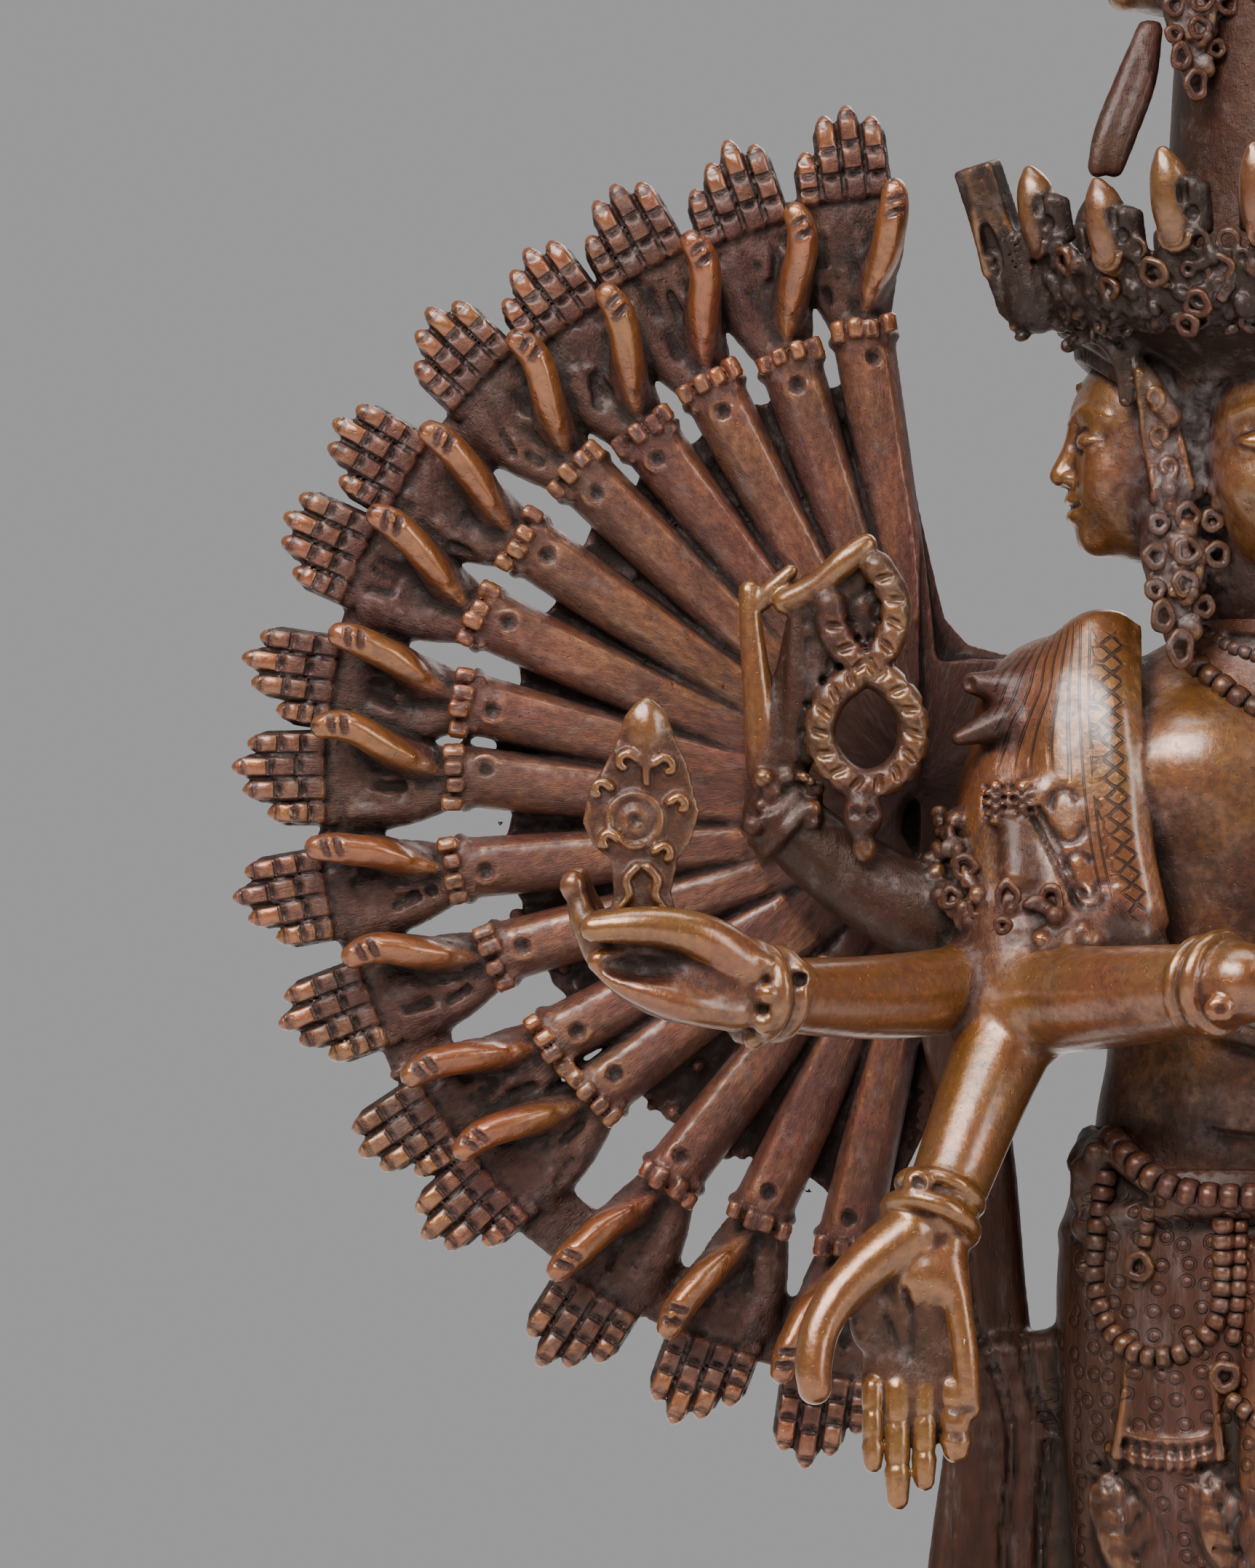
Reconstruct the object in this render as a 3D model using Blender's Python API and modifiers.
"""A standing many-armed bodhisattva in cast copper alloy, with two half wheels of open hands.

Lengths are metres, +Z is up and the figure faces -Y. The origin is the centre of the pedestal's underside.
Free forms are drawn in design units and scaled to the real height. In the drawing the soles stand at
height 26, the topmost knob ends at 359, and x = 0 is the figure's centre line.
"""
import math

import bmesh
import bpy
from mathutils import Matrix, Vector

# Driving sizes of the real object
FIGURE_HEIGHT = 0.333
WHEEL_RADIUS = 0.0682
SEAT_GAP = 0.0003
PEDESTAL_HEIGHT = 0.026
PEDESTAL_TOP_WIDTH = 0.100
PEDESTAL_TOP_DEPTH = 0.074
PEDESTAL_SPREAD = 0.0062
PETALS = 16
PETAL_RELIEF = 0.0026

# The drawing that the free forms are scaled from
DRAWN_SOLE = 26.0
DRAWN_TOP = 359.0
DRAWN_WHEEL_RADIUS = 68.2
FIGURE_SHARE = FIGURE_HEIGHT / (DRAWN_TOP - DRAWN_SOLE)
WHEEL_SHARE = WHEEL_RADIUS / DRAWN_WHEEL_RADIUS

# Seats cut in the back of the shoulders for the two half wheels, in design units
SEAT_FRONT = 6.7
SPINE_HALF_WIDTH = 7.4
SEAT_OUTER = 36.0
SEAT_LOW = 140.0
SEAT_HIGH = 200.0

# Angles of the sixteen arms of a half wheel, from straight up towards the outside, and their lengths
WHEEL_ANGLES = (6.7, 16.6, 27.2, 37.6, 47.1, 58.2, 68.7, 79.5, 88.8, 100.4, 112, 125, 134, 148, 160, 171.5)
WRIST_RADII = (45.5, 44.3, 44.7, 44.2, 45.9, 46.0, 46.5, 45.6, 45.6, 46.4, 45.0, 44.3, 44.2, 46.3, 45.6, 46.1)
WHEEL_CENTRE = (36.4, 175.0)
ARM_ROOT = (33.9, 170.5)
TIERS = ((195.5, 1.0), (249.2, 0.86), (290.0, 0.70))

FIGURE_TRIANGLES = 4250
WHEEL_TRIANGLES = 2100
FIGURE_VOXEL = 0.85
WHEEL_VOXEL = 0.6


def clear_scene():
    """Remove the objects that the scene starts with."""
    for old in list(bpy.data.objects):
        bpy.data.objects.remove(old, do_unlink=True)


def metal(name, colour, roughness):
    """Return a metallic material of one colour."""
    material = bpy.data.materials.new(name)
    material.use_nodes = True
    shader = material.node_tree.nodes["Principled BSDF"]
    shader.inputs["Base Color"].default_value = (*colour, 1.0)
    shader.inputs["Roughness"].default_value = roughness
    shader.inputs["Metallic"].default_value = 0.85
    material.diffuse_color = (*colour, 1.0)
    return material


class Casting:
    """Shapes in design units that melt into one closed solid."""

    def __init__(self):
        self.shell = bmesh.new()

    def take(self, shape):
        """Add the faces of a mesh or bmesh and free it."""
        if isinstance(shape, bmesh.types.BMesh):
            mesh = bpy.data.meshes.new("shape")
            shape.to_mesh(mesh)
            shape.free()
        else:
            mesh = shape
        self.shell.from_mesh(mesh)
        bpy.data.meshes.remove(mesh)

    def ball(self, centre, radii, turn=0.0, lean=0.0):
        """Add an ellipsoid, turned about Z and then leant about its own X."""
        shape = bmesh.new()
        place = Matrix.Translation(centre) @ Matrix.Rotation(turn, 4, "Z") @ Matrix.Rotation(lean, 4, "X")
        bmesh.ops.create_icosphere(
            shape, subdivisions=3, radius=1.0, matrix=place @ Matrix.Diagonal((*radii, 1.0)))
        self.take(shape)

    def limb(self, points, radii):
        """Add a round bar through the points, with a radius at each and a ball at each end."""
        curve = bpy.data.curves.new("limb", "CURVE")
        curve.dimensions = "3D"
        curve.bevel_depth = 1.0
        curve.bevel_resolution = 3
        curve.resolution_u = 6
        curve.use_fill_caps = True
        spline = curve.splines.new("NURBS" if len(points) > 2 else "POLY")
        spline.points.add(len(points) - 1)
        for knot, point, radius in zip(spline.points, points, radii):
            knot.co = (*point, 1.0)
            knot.radius = radius
        spline.use_endpoint_u = True
        spline.order_u = min(4, len(points))
        holder = bpy.data.objects.new("limb", curve)
        bpy.context.collection.objects.link(holder)
        mesh = bpy.data.meshes.new_from_object(holder.evaluated_get(bpy.context.evaluated_depsgraph_get()))
        bpy.data.objects.remove(holder, do_unlink=True)
        bpy.data.curves.remove(curve)
        shape = bmesh.new()
        shape.from_mesh(mesh)
        bpy.data.meshes.remove(mesh)
        bmesh.ops.remove_doubles(shape, verts=shape.verts, dist=0.001)
        self.take(shape)
        for point, radius in ((points[0], radii[0]), (points[-1], radii[-1])):
            self.ball(point, (radius, radius, radius))

    def ring(self, centre, normal, major, minor, stretch=1.0):
        """Add a torus about an axis, which can be stretched along its own X."""
        aim = Vector(normal).to_track_quat("Z", "Y").to_matrix().to_4x4()
        place = Matrix.Translation(centre) @ aim @ Matrix.Diagonal((stretch, 1.0, 1.0, 1.0))
        bpy.ops.mesh.primitive_torus_add(
            major_segments=24, minor_segments=8, major_radius=major, minor_radius=minor)
        holder = bpy.context.object
        mesh = holder.data
        bpy.data.objects.remove(holder, do_unlink=True)
        mesh.transform(place)
        self.take(mesh)

    def slab(self, outline, thickness, place):
        """Add a flat plate with the given outline in its own XY plane."""
        curve = bpy.data.curves.new("slab", "CURVE")
        curve.dimensions = "2D"
        curve.fill_mode = "BOTH"
        curve.extrude = thickness / 2
        spline = curve.splines.new("POLY")
        spline.points.add(len(outline) - 1)
        for knot, (x, y) in zip(spline.points, outline):
            knot.co = (x, y, 0.0, 1.0)
        spline.use_cyclic_u = True
        holder = bpy.data.objects.new("slab", curve)
        bpy.context.collection.objects.link(holder)
        mesh = bpy.data.meshes.new_from_object(holder.evaluated_get(bpy.context.evaluated_depsgraph_get()))
        bpy.data.objects.remove(holder, do_unlink=True)
        bpy.data.curves.remove(curve)
        shape = bmesh.new()
        shape.from_mesh(mesh)
        bpy.data.meshes.remove(mesh)
        bmesh.ops.remove_doubles(shape, verts=shape.verts, dist=0.001)
        bmesh.ops.transform(shape, matrix=place, verts=shape.verts)
        self.take(shape)

    def loft(self, sections, outline, segments=64):
        """Add a body through level sections; outline(angle, section) gives each point's x and y."""
        shape = bmesh.new()
        rings = []
        for section in sections:
            corners = [shape.verts.new((*outline(math.tau * i / segments, section), section[0]))
                       for i in range(segments)]
            edges = [shape.edges.new((corners[i], corners[(i + 1) % segments])) for i in range(segments)]
            rings.append(edges)
        for lower, upper in zip(rings, rings[1:]):
            bmesh.ops.bridge_loops(shape, edges=lower + upper)
        bmesh.ops.holes_fill(shape, edges=rings[0] + rings[-1])
        bmesh.ops.recalc_face_normals(shape, faces=shape.faces)
        self.take(shape)

    def mirror_x(self):
        """Turn the shapes into their mirror image across x = 0."""
        bmesh.ops.scale(self.shell, vec=(-1.0, 1.0, 1.0), verts=self.shell.verts)
        bmesh.ops.reverse_faces(self.shell, faces=self.shell.faces)

    def pour(self, name, material, collection, voxel, triangles, place):
        """Melt the shapes together and return the solid as an object in metres."""
        mesh = bpy.data.meshes.new(name)
        self.shell.to_mesh(mesh)
        self.shell.free()
        solid = bpy.data.objects.new(name, mesh)
        collection.objects.link(solid)
        melt = solid.modifiers.new("melt", "REMESH")
        melt.mode = "VOXEL"
        melt.voxel_size = voxel
        settle(solid)
        keep_main_shell(solid.data)
        thin = solid.modifiers.new("thin", "DECIMATE")
        thin.ratio = min(1.0, triangles / sum(len(face.vertices) - 2 for face in solid.data.polygons))
        thin.use_collapse_triangulate = True
        settle(solid)
        solid.data.transform(place)
        solid.data.materials.clear()
        solid.data.materials.append(material)
        return solid


def settle(solid):
    """Apply an object's modifiers to its mesh."""
    mesh = bpy.data.meshes.new_from_object(solid.evaluated_get(bpy.context.evaluated_depsgraph_get()))
    solid.modifiers.clear()
    old = solid.data
    solid.data = mesh
    bpy.data.meshes.remove(old)


def keep_main_shell(mesh):
    """Keep the largest connected shell of a mesh, so that no sealed hollow stays inside."""
    shape = bmesh.new()
    shape.from_mesh(mesh)
    unseen = set(shape.verts)
    shells = []
    while unseen:
        front = [unseen.pop()]
        shell = set(front)
        while front:
            vertex = front.pop()
            for edge in vertex.link_edges:
                other = edge.other_vert(vertex)
                if other in unseen:
                    unseen.discard(other)
                    shell.add(other)
                    front.append(other)
        shells.append(shell)
    main = max(shells, key=len)
    bmesh.ops.delete(shape, geom=[v for v in shape.verts if v not in main], context="VERTS")
    shape.to_mesh(mesh)
    shape.free()


def box_cutter(name, low, high, collection):
    """Return a hidden box between two corners, in metres, for a Boolean."""
    mesh = bpy.data.meshes.new(name)
    shape = bmesh.new()
    size = Vector(high) - Vector(low)
    centre = (Vector(high) + Vector(low)) / 2
    bmesh.ops.create_cube(
        shape, size=1.0, matrix=Matrix.Translation(centre) @ Matrix.Diagonal((*size, 1.0)))
    shape.to_mesh(mesh)
    shape.free()
    cutter = bpy.data.objects.new(name, mesh)
    cutter.hide_render = True
    cutter.display_type = "WIRE"
    collection.objects.link(cutter)
    return cutter


def cut(solid, cutter):
    """Subtract a cutter from a solid."""
    step = solid.modifiers.new(cutter.name, "BOOLEAN")
    step.operation = "DIFFERENCE"
    step.object = cutter


def figure_place():
    """Return the matrix from design units to the figure's place on the pedestal, in metres."""
    lift = PEDESTAL_HEIGHT + SEAT_GAP - DRAWN_SOLE * FIGURE_SHARE
    return Matrix.Translation((0.0, 0.0, lift)) @ Matrix.Scale(FIGURE_SHARE, 4)


def ellipse(angle, section):
    """Outline of a torso section: height, half width, half depth, y of its centre."""
    _, half_width, half_depth, middle = section
    return half_width * math.cos(angle), middle + half_depth * math.sin(angle)


def skirt_outline(angle, section):
    """Outline of a skirt section with a leg on each side and fine hanging folds."""
    _, half_width, half_depth, middle = section
    legs = 1.0 + 0.05 * abs(math.cos(angle)) - 0.05 * math.exp(-((math.cos(angle) / 0.22) ** 2))
    folds = 1.0 + 0.018 * math.cos(22 * angle)
    reach = legs * folds
    return half_width * reach * math.cos(angle), middle + half_depth * reach * math.sin(angle)


TORSO = (
    (134, 20.0, 12.8, 0), (143, 19.0, 12.0, 0), (150, 18.0, 11.5, 0), (158, 20.0, 12.5, 0),
    (166, 22.0, 13.3, 0), (173, 24.0, 13.5, 0), (179, 25.0, 12.5, 0.5), (184, 21.5, 10.5, 1),
    (188.5, 13.0, 8.5, 1), (192, 8.6, 8.0, 0), (204, 8.3, 8.0, 0))
SKIRT = (
    (33, 22.0, 15.0, 0), (36, 23.0, 15.5, 0), (45, 21.3, 15.0, 0), (60, 19.6, 14.5, 0),
    (80, 19.8, 14.5, 0), (100, 20.8, 15.0, 0), (118, 21.8, 15.5, 0), (130, 21.6, 15.0, 0),
    (138, 19.8, 13.2, 0))


def add_body(casting):
    """Add the torso, skirt, feet, girdle and hanging sash."""
    casting.loft(TORSO, ellipse, 48)
    casting.loft(SKIRT, skirt_outline, 132)
    casting.ring((0, 0, 138), (0, 0.1, 1), 14.0, 1.6, 1.42)
    casting.ring((0, -1, 131.5), (0, 0.22, 1), 15.6, 1.3, 1.38)
    casting.limb(((-4, -15, 130), (-4.6, -16.4, 100), (-5.2, -16, 60), (-5.6, -16, 38)), (1.6, 1.9, 2.2, 2.6))
    casting.limb(((4, -15, 130), (4.6, -16.4, 100), (5.2, -16, 60), (5.6, -16, 38)), (1.6, 1.9, 2.2, 2.6))
    casting.limb(((-13.5, -13, 136), (-12.6, -16.8, 121), (0, -18.2, 115), (12.6, -16.8, 121), (13.5, -13, 136)),
                 (0.9, 1.0, 1.1, 1.0, 0.9))
    for side in (-1, 1):
        casting.limb(((9 * side, 2, 40), (9 * side, 1, 29)), (5.6, 5.0))
        casting.ball((9.5 * side, -6, 26.0 + 2.6), (4.6, 11.5, 3.4))
        casting.limb(((6.6 * side, -14, 28), (6.4 * side, -17.6, 27.6)), (1.9, 1.6))
    casting.limb(((-13, -10.5, 187), (-9, -13.0, 182.5), (0, -14.5, 178.5), (9, -13.0, 182.5), (13, -10.5, 187)),
                 (1.1, 1.3, 1.8, 1.3, 1.1))
    for side in (-1, 1):
        casting.limb(((17.2 * side, -4, 190.2), (18.2 * side, -10.5, 181), (18.0 * side, -12.6, 170),
                      (16.8 * side, -12.0, 160)), (1.5, 1.5, 1.5, 1.5))
        casting.limb(((16.8 * side, -12.0, 160), (10 * side, -13.2, 152), (0, -13.2, 149)), (1.3, 1.1, 1.0))


def add_scarf(casting, side):
    """Add the long scarf that falls from an elbow to the hem."""
    points = ((33, 5, 152), (30.5, 4, 140), (29.5, 3, 125), (29, 2, 112), (30, 0.5, 97), (31, 0, 80),
              (34, 1, 55), (38, 2, 36))
    half_widths = (3.2, 3.4, 3.6, 4.3, 5.2, 5.4, 6.0, 6.6)
    for edge in (-1, 0, 1):
        casting.limb([(side * (x + edge * (w - 1.6)), y, z) for (x, y, z), w in zip(points, half_widths)],
                     [1.2 + 0.15 * w for w in half_widths])
    for z in range(40, 119, 4):
        casting.limb(((side * 18, 1, z), (side * 30, 1, z - 1)), (2.6, 1.8))


def add_head(casting, centre, facing, scale):
    """Add one head of plain calm proportions that looks towards an angle from -Y."""
    turn = Matrix.Translation(centre) @ Matrix.Rotation(facing, 4, "Z") @ Matrix.Scale(scale, 4)
    casting.ball(centre, (9.7 * scale, 12.2 * scale, 13.2 * scale), facing)
    casting.ball(turn @ Vector((0, -5.6, -4.6)), (6.7 * scale, 6.4 * scale, 7.2 * scale), facing)
    nose = (turn @ Vector((0, -11.6, 1.4)), turn @ Vector((0, -13.4, -2.8)))
    casting.limb(nose, (0.9 * scale, 1.5 * scale))
    for brow in (-1, 1):
        casting.limb([turn @ Vector((brow * x, y, z)) for x, y, z in ((1.0, -11.6, 2.2), (3.6, -11.1, 3.4),
                                                                      (6.4, -9.2, 2.4))],
                     (0.8 * scale, 0.8 * scale, 0.8 * scale))
        casting.limb([turn @ Vector((brow * 9.6, -1.5, z)) for z in (3.0, -3.0, -9.5)],
                     (1.5 * scale, 1.7 * scale, 1.6 * scale))
    casting.limb([turn @ Vector((x, y, -7.2)) for x, y in ((-2.2, -10.8), (0, -11.8), (2.2, -10.8))],
                 (0.7 * scale, 1.0 * scale, 0.7 * scale))


LEAF = ((-0.55, 0), (-1.0, 0.35), (-0.92, 0.62), (0, 1.0), (0.92, 0.62), (1.0, 0.35), (0.55, 0))


def add_crown(casting, chin, scale):
    """Add the crown that runs round three heads, with its upright leaves."""
    base = chin + 23.2 * scale
    sections = ((base - 1.5 * scale, 21.0 * scale, 18.6 * scale, -1.5 * scale),
                (base + 3.0 * scale, 25.0 * scale, 21.4 * scale, -1.5 * scale),
                (base + 8.6 * scale, 27.0 * scale, 22.4 * scale, -1.5 * scale),
                (base + 8.7 * scale, 14.0 * scale, 12.0 * scale, -1.0 * scale))
    casting.loft(sections, ellipse, 48)
    casting.ring((0, -1.5 * scale, base + 3.2 * scale), (0, 0, 1), 21.4 * scale, 1.4 * scale, 1.165)
    for bearing in (-158, -132, -106, -84, -62, -38, -12.5, 12.5, 38, 62, 84, 106, 132, 158):
        around = math.radians(bearing)
        foot = Vector((26.6 * scale * math.sin(around), -1.5 * scale - 22.0 * scale * math.cos(around),
                       base + 6.4 * scale))
        stand = (Matrix.Translation(foot) @ Matrix.Rotation(around, 4, "Z")
                 @ Matrix.Rotation(math.radians(90 + 24), 4, "X"))
        outline = [(x * 2.9 * scale, y * 12.0 * scale) for x, y in LEAF]
        casting.slab(outline, 3.2 * scale, stand)


def add_head_tower(casting):
    """Add three tiers of three heads, then one head and a small head on top."""
    for chin, scale in TIERS:
        middle = chin + 11.6 * scale
        add_head(casting, (0, -4.4 * scale, middle), 0.0, scale)
        for side in (-1, 1):
            add_head(casting, (side * 10.6 * scale, -0.5 * scale, middle + 0.6), side * math.radians(90), 0.9 * scale)
            casting.limb([(side * x * scale, -7 * scale, z * scale + chin)
                          for x, z in ((13.6, 8), (14.2, 1), (12.4, -5))],
                         (2.2 * scale, 3.6 * scale, 2.0 * scale))
        casting.ball((0, 2 * scale, middle), (15 * scale, 12 * scale, 15 * scale))
        add_crown(casting, chin, scale)
        casting.limb(((0, 1.5 * scale, chin + 20 * scale), (0, 1.0 * scale, chin + 57 * scale)),
                     (13.0 * scale, 11.0 * scale))
    add_head(casting, (0, -1.2, 328.6), 0.0, 0.56)
    casting.ball((0, 0.5, 332), (7.6, 7.4, 8.0))
    for bearing in range(-120, 121, 40):
        around = math.radians(bearing)
        casting.limb(((6.4 * math.sin(around), -6.4 * math.cos(around), 334),
                      (8.2 * math.sin(around), -8.2 * math.cos(around), 338.5)), (1.7, 0.9))
    casting.limb(((0, 0.5, 334), (0, 0.5, 343)), (5.2, 4.2))
    add_head(casting, (0, -0.8, 345.6), 0.0, 0.40)
    casting.limb(((0, 0.4, 349), (0, 0.4, 354)), (3.6, 2.2))
    casting.ball((0, 0.4, 356.6), (1.9, 1.9, 2.4))


def add_bracelet(casting, centre, along, radius, thickness):
    """Add a pair of rings round a wrist or upper arm."""
    step = Vector(along).normalized() * thickness * 1.1
    for sign in (-0.6, 0.6):
        casting.ring(Vector(centre) + step * sign, along, radius, thickness)


def add_fingers(casting, root, reach, spread, bend, length, radius, count=4):
    """Add straight fingers side by side from a root point."""
    for i in range(count):
        offset = Vector(spread) * (i - (count - 1) / 2)
        share = (0.88, 1.0, 0.95, 0.82)[i % 4]
        start = Vector(root) + offset
        middle = start + Vector(reach) * length * share * 0.55
        tip = middle + (Vector(reach) + Vector(bend)).normalized() * length * share * 0.45
        casting.limb((start, middle, tip), (radius * 1.05, radius, radius * 0.85))


def add_working_arms(casting, side):
    """Add the four working arms of one side with what they hold."""

    def at(x, y, z):
        return Vector((side * x, y, z))

    # Upper arm and armlet
    casting.limb((at(22, 0, 180), at(25.5, -3, 172), at(26.5, -10, 158), at(26.5, -13, 153.5)), (8.4, 7.4, 6.6, 5.6))
    casting.ball(at(22, 0, 181.5), (8.6, 8.8, 8.2))
    add_bracelet(casting, at(25.6, -5.5, 169), (side * 0.12, -0.45, -1), 7.4, 1.3)
    casting.ball(at(27.5, -12, 170), (3.2, 2.2, 5.0))
    # Joined hands at the breast
    casting.limb((at(25.2, -13, 154.2), at(16.3, -25, 155.2), at(7.6, -33, 156.5)), (4.8, 4.2, 3.6))
    add_bracelet(casting, at(9.0, -32, 156.3), (-side, -1.0, 0.1), 3.8, 0.9)
    casting.ball(at(3.0, -37.2, 160.0), (2.6, 3.6, 4.6))
    casting.limb((at(2.0, -39, 161), at(1.5, -40, 166), at(0.9, -39.6, 170)), (2.1, 1.8, 1.1))
    # Lowered open hand
    casting.limb((at(27.2, -12, 153.3), at(31.0, -16.5, 145), at(35.2, -22, 134.6)), (4.4, 4.1, 3.6))
    add_bracelet(casting, at(34.9, -21.7, 135.6), (side * 0.4, -0.5, -1), 3.8, 1.0)
    casting.ball(at(36.9, -23.4, 125), (5.2, 2.3, 9.0))
    casting.limb((at(36.6, -22.6, 132), at(41.4, -25.5, 127.5), at(47.4, -28.4, 122.6), at(47.8, -29.2, 116.6)),
                 (3.0, 2.6, 1.9, 1.6))
    add_fingers(casting, at(37.6, -24.2, 120), (side * 0.18, -0.08, -1), at(2.15, 0.1, 0), (side * 0.02, 0.02, 0),
                13.6, 1.35)
    # Arm that reaches forward and holds the jewelled wheel
    casting.limb((at(28.5, -6, 157), at(33, -11, 155.4), at(41.9, -20, 154.8), at(51.2, -30, 155.3)),
                 (4.6, 4.3, 3.9, 3.4))
    add_bracelet(casting, at(50.2, -29, 155.3), (side, -1, 0), 3.9, 1.1)
    casting.ball(at(60.5, -33.5, 157.4), (6.8, 3.3, 4.2))
    casting.limb((at(53.5, -32.5, 158.2), at(60.0, -35.6, 162.0), at(68.6, -36.4, 162.3)), (2.6, 2.0, 1.5))
    casting.ball(at(69.3, -30, 166.1), (2.1, 2.1, 2.6))
    # Raised arm that holds the string of beads
    casting.limb((at(29, -2, 166), at(35, -3.5, 162.6), at(43.5, -3.6, 166.6), at(50.4, -4.2, 172.3)),
                 (5.2, 4.6, 3.8, 3.3))
    add_bracelet(casting, at(49.4, -4.2, 171.8), (side, 0, 0.9), 3.6, 0.9)
    casting.limb((at(51.6, -5, 174.6), at(52.2, -5, 184), at(53.1, -5, 194.4)), (2.2, 1.8, 1.5))
    casting.limb((at(52.6, -5.4, 194.4), at(49.4, -5.8, 195.9)), (1.5, 1.3))
    casting.limb((at(50.4, -5.6, 176), at(47.0, -6.6, 186), at(46.0, -7.6, 193.6), at(41.8, -8.0, 197.6)),
                 (2.6, 2.4, 2.0, 1.3))
    casting.limb((at(33.4, -8, 177.2), at(30.6, -8, 180.7), at(28.5, -6, 183)), (2.2, 2.2, 2.4))


def add_right_attributes(casting):
    """Add the flaming wheel and the string of beads, on the figure's right."""
    flame = ((0, 11.4), (2.9, 9.0), (4.1, 4.8), (5.4, 1.2), (5.4, -1.8), (3.6, -5.2), (3.4, -8.2),
             (-3.4, -8.2), (-3.6, -5.2), (-5.4, -1.8), (-5.4, 1.2), (-4.1, 4.8), (-2.9, 9.0))
    stand = Matrix.Translation((-63.6, -31, 171.8)) @ Matrix.Rotation(math.radians(90), 4, "X")
    casting.slab(flame, 3.4, stand)
    casting.ring((-64.2, -32.6, 171.6), (0, 1, 0), 2.1, 0.9)
    casting.limb(((-63.5, -31, 166), (-62.4, -33, 160)), (2.8, 2.8))
    casting.ring((-41.3, -8.2, 180.2), (0.1, 1, 0), 4.9, 1.8, 1.12)
    casting.limb(((-41.7, -8.6, 185.4), (-39.9, -8.0, 189.0), (-41.2, -7.6, 194.0)), (1.8, 1.7, 1.7))
    casting.limb(((-44.6, -7.4, 186), (-41.6, -8.4, 183.6)), (1.7, 1.5))
    casting.limb(((-42.3, -8.4, 174.6), (-42.3, -8.4, 169.4)), (2.2, 1.8))


def add_left_attributes(casting):
    """Add a small vase and an upright lotus bud, on the figure's left."""
    profile = ((165.0, 2.6, 2.6, -32), (167.5, 4.6, 4.6, -32), (171.0, 5.0, 5.0, -32), (174.5, 3.0, 3.0, -32),
               (176.5, 1.9, 1.9, -32), (179.5, 2.0, 2.0, -32), (181.5, 3.2, 3.2, -32))
    shape = Casting()
    shape.loft(profile, ellipse, 24)
    shape.limb(((0, -32, 166), (0, -33, 160)), (2.6, 2.8))
    bmesh.ops.translate(shape.shell, vec=(63.2, 0, 0), verts=shape.shell.verts)
    mesh = bpy.data.meshes.new("vase")
    shape.shell.to_mesh(mesh)
    shape.shell.free()
    casting.take(mesh)
    casting.limb(((46.4, -7.4, 184), (41.0, -8.6, 186), (39.6, -8.4, 194.0), (41.2, -8.0, 200)),
                 (1.7, 1.6, 1.5, 2.4))
    casting.ball((41.8, -8.0, 203.5), (3.4, 3.2, 4.4))
    casting.limb(((41.0, -8.6, 186), (40.6, -8.6, 176)), (1.6, 1.4))


def make_figure(material, collection):
    """Return the figure as one solid."""
    casting = Casting()
    add_body(casting)
    add_head_tower(casting)
    for side in (-1, 1):
        add_scarf(casting, side)
        add_working_arms(casting, side)
    add_right_attributes(casting)
    add_left_attributes(casting)
    return casting.pour("figure", material, collection, FIGURE_VOXEL, FIGURE_TRIANGLES, figure_place())


def add_wheel_hand(casting, angle, wrist_radius):
    """Add one open hand with its arm; u runs outward, v across towards the thumb."""
    out = Vector((-math.sin(angle), 0, math.cos(angle)))
    across = Vector((math.cos(angle), 0, math.sin(angle)))
    wrist = Vector((-WHEEL_CENTRE[0], 0, WHEEL_CENTRE[1])) + out * wrist_radius

    def at(u, v, y):
        return wrist + out * u + across * v + Vector((0, y, 0))

    root = Vector((-ARM_ROOT[0], 9.0, ARM_ROOT[1]))
    inner = root.lerp(at(0, 0, 7.4), 0.2)
    middle = root.lerp(at(0, 0, 7.2), 0.62)
    casting.limb((inner, middle, at(-2.0, 0, 7.6)), (2.0, 2.7, 3.0))
    casting.ring(at(-0.6, 0, 7.8), out, 2.7, 0.9)
    casting.ball(at(0.6, 0, 7.8), (3.0, 2.6, 3.0))
    casting.limb((at(1.0, 0.3, 8.2), at(6.0, 0.4, 8.4), at(10.5, 0.2, 8.6)), (2.3, 2.5, 2.2))
    casting.limb((at(3.5, -1.6, 8.2), at(11.6, -2.6, 8.6)), (1.9, 2.0))
    casting.limb((at(3.5, 1.8, 8.2), at(11.6, 2.4, 8.6)), (1.9, 2.0))
    for lane, tip in ((3.45, 20.3), (1.15, 22.5), (-1.15, 20.8), (-3.45, 17.2)):
        casting.limb((at(10.5, lane * 0.95, 8.6), at(tip - 5, lane, 8.3), at(tip - 1.0, lane * 0.96, 7.2)),
                     (1.35, 1.25, 1.05))
    casting.limb((at(2.4, 1.0, 6.8), at(7.6, 3.4, 4.8), at(11.0, 5.2, 2.8), at(14.4, 5.3, 2.2)),
                 (1.9, 1.5, 1.3, 1.25))


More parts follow.
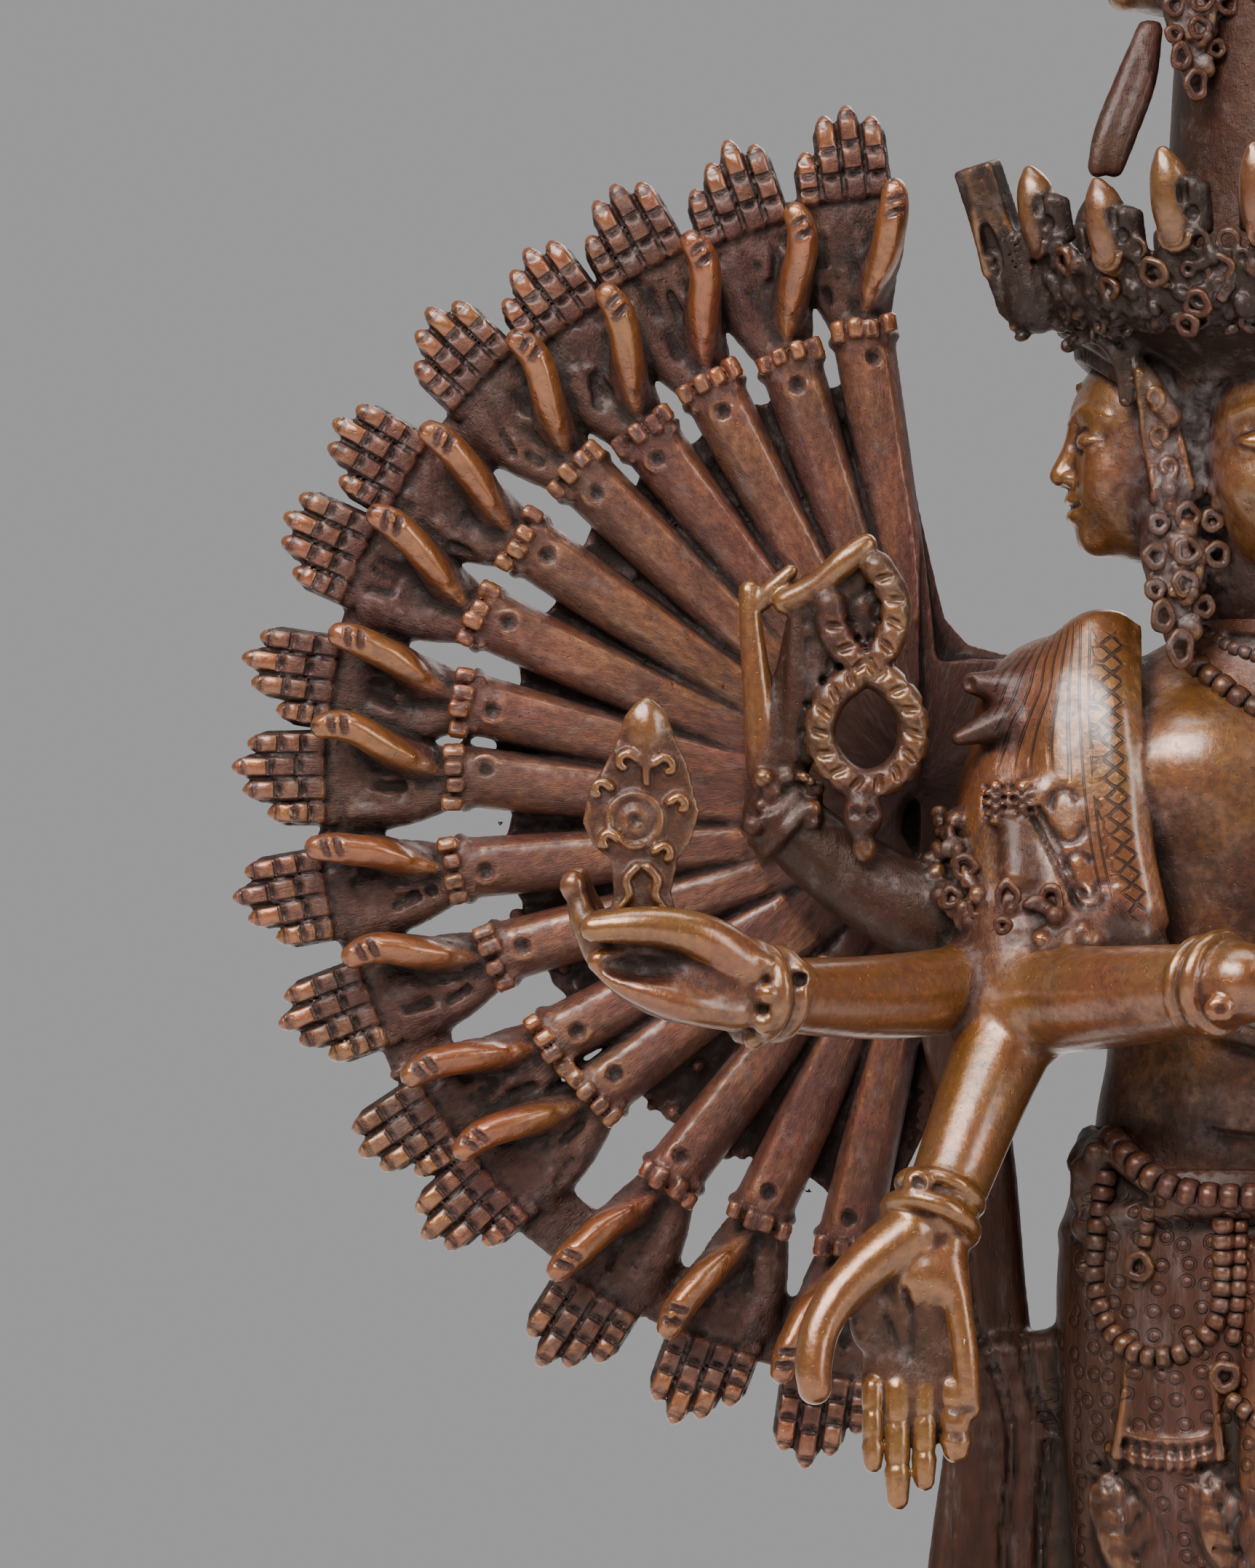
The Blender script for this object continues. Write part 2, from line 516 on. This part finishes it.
def wheel_casting():
    """Return the shapes of the half wheel on the figure's right, around its seat behind the shoulder."""
    casting = Casting()
    angles = [math.radians(angle) for angle in WHEEL_ANGLES]
    for angle, wrist_radius in zip(angles, WRIST_RADII):
        add_wheel_hand(casting, angle, wrist_radius)
    wall = Matrix.Rotation(math.radians(90), 4, "X")
    centre_x, centre_z = WHEEL_CENTRE
    fan = [(-centre_x - 40 * math.sin(a), centre_z + 40 * math.cos(a))
           for a in (math.radians(5 + 172 * i / 24) for i in range(25))]
    plate = fan + [(-30, 152), (-14, 158), (-8.2, 166), (-8.2, 186), (-23, 188), (-30, 188.8), (-33, 190.8),
                   (-34.9, 194.6), (-37.0, 205)]
    casting.slab(plate, 2.6, Matrix.Translation((0, 11.0, 0)) @ wall)
    casting.slab(((-36, 150), (-36, 187), (-31, 187.6), (-8.2, 186.6), (-8.2, 163)), 5.2,
                 Matrix.Translation((0, 9.6, 0)) @ wall)
    for first, second in zip(angles, angles[1:]):
        between = (first + second) / 2
        width = (second - first) / 2
        web = [(-centre_x - r * math.sin(a), centre_z + r * math.cos(a))
               for r, a in ((53.6, between - width), (53.0, between), (53.6, between + width),
                            (58.2, between + width), (57.4, between), (58.2, between - width))]
        casting.slab(web, 2.0, Matrix.Translation((0, 9.6, 0)) @ wall)
    return casting


def make_wheel(name, side, material, collection, cutters):
    """Return one half wheel, cut back to its seat behind the shoulder."""
    casting = wheel_casting()
    if side > 0:
        casting.mirror_x()
    figure = figure_place()
    hub = Vector((side * WHEEL_CENTRE[0], SEAT_FRONT, WHEEL_CENTRE[1]))
    place = (Matrix.Translation(figure @ hub) @ Matrix.Scale(WHEEL_SHARE, 4) @ Matrix.Translation(-hub))
    wheel = casting.pour(name, material, collection, WHEEL_VOXEL, WHEEL_TRIANGLES, place)
    gap = SEAT_GAP / 2
    front = box_cutter(
        name + "_front", figure @ Vector((-SEAT_OUTER, -60, SEAT_LOW)),
        figure @ Vector((SEAT_OUTER, SEAT_FRONT, SEAT_HIGH)) + Vector((0, gap, 0)), cutters)
    spine = box_cutter(
        name + "_spine", figure @ Vector((-SPINE_HALF_WIDTH, -60, SEAT_LOW)) - Vector((gap, 0, 0)),
        figure @ Vector((SPINE_HALF_WIDTH, 60, SEAT_HIGH)) + Vector((gap, 0, 0)), cutters)
    cut(wheel, front)
    cut(wheel, spine)
    return wheel


def cut_seats(figure_solid, cutters):
    """Cut the flat seats for both half wheels into the figure's back."""
    figure = figure_place()
    gap = SEAT_GAP / 2
    for side, word in ((-1, "right"), (1, "left")):
        inner = figure @ Vector((side * SPINE_HALF_WIDTH, SEAT_FRONT, SEAT_LOW)) + Vector((side * gap, -gap, 0))
        outer = figure @ Vector((side * 60, 60, SEAT_HIGH))
        low = Vector((min(inner.x, outer.x), inner.y, inner.z))
        high = Vector((max(inner.x, outer.x), outer.y, outer.z))
        cut(figure_solid, box_cutter("seat_" + word, low, high, cutters))


def level_soles(figure_solid, cutters):
    """Cut the soles flat, a seat gap above the pedestal."""
    figure = figure_place()
    cut(figure_solid, box_cutter(
        "floor", figure @ Vector((-60, -60, DRAWN_SOLE - 20)), figure @ Vector((60, 60, DRAWN_SOLE)), cutters))


def make_pedestal(material, collection):
    """Return the oval pedestal with its two rows of lotus petals."""
    segments = PETALS * 4
    # Shares of the height, the outward spread and the petal relief, and how far petal tips reach up or down
    profile = ((0.0, 0.95, 0.0, 0.0), (0.10, 1.0, 0.0, 0.0), (0.13, 0.62, 0.0, 0.0), (0.22, 0.90, 1.0, -0.13),
               (0.38, 0.70, 0.9, 0.0), (0.50, 0.15, 0.3, 0.0), (0.62, 0.45, 0.9, 0.0), (0.77, 0.66, 1.0, 0.13),
               (0.87, 0.12, 0.0, 0.0), (0.92, 0.0, 0.0, 0.0), (1.0, 0.0, 0.0, 0.0))
    shape = bmesh.new()
    rings = []
    for height, spread, relief, lift in profile:
        corners = []
        for i in range(segments):
            angle = math.tau * i / segments
            wave = abs(math.cos(PETALS * angle / 2)) - 0.5
            reach = PEDESTAL_SPREAD * spread + PETAL_RELIEF * relief * wave
            corners.append(shape.verts.new(((PEDESTAL_TOP_WIDTH / 2 + reach) * math.cos(angle),
                                            (PEDESTAL_TOP_DEPTH / 2 + reach) * math.sin(angle),
                                            PEDESTAL_HEIGHT * (height + lift * wave))))
        rings.append([shape.edges.new((corners[i], corners[(i + 1) % segments])) for i in range(segments)])
    for lower, upper in zip(rings, rings[1:]):
        bmesh.ops.bridge_loops(shape, edges=lower + upper)
    bmesh.ops.holes_fill(shape, edges=rings[0] + rings[-1])
    bmesh.ops.recalc_face_normals(shape, faces=shape.faces)
    mesh = bpy.data.meshes.new("lotus_pedestal")
    shape.to_mesh(mesh)
    shape.free()
    mesh.materials.append(material)
    pedestal = bpy.data.objects.new("lotus_pedestal", mesh)
    collection.objects.link(pedestal)
    return pedestal


def main():
    """Build the statue."""
    clear_scene()
    statue = bpy.data.collections.new("avalokiteshvara_statue")
    cutters = bpy.data.collections.new("cutters")
    for collection in (statue, cutters):
        bpy.context.scene.collection.children.link(collection)
    figure = make_figure(metal("rubbed_bronze", (0.33, 0.15, 0.06), 0.33), statue)
    cut_seats(figure, cutters)
    level_soles(figure, cutters)
    make_wheel("hand_wheel_right", -1, metal("dark_bronze_right", (0.12, 0.05, 0.04), 0.42), statue, cutters)
    make_wheel("hand_wheel_left", 1, metal("dark_bronze_left", (0.12, 0.05, 0.04), 0.42), statue, cutters)
    pedestal = make_pedestal(metal("pedestal_bronze", (0.22, 0.10, 0.05), 0.38), statue)
    for solid in (figure, pedestal):
        solid.data.shade_smooth()
        solid.data.set_sharp_from_angle(angle=math.radians(40))


main()
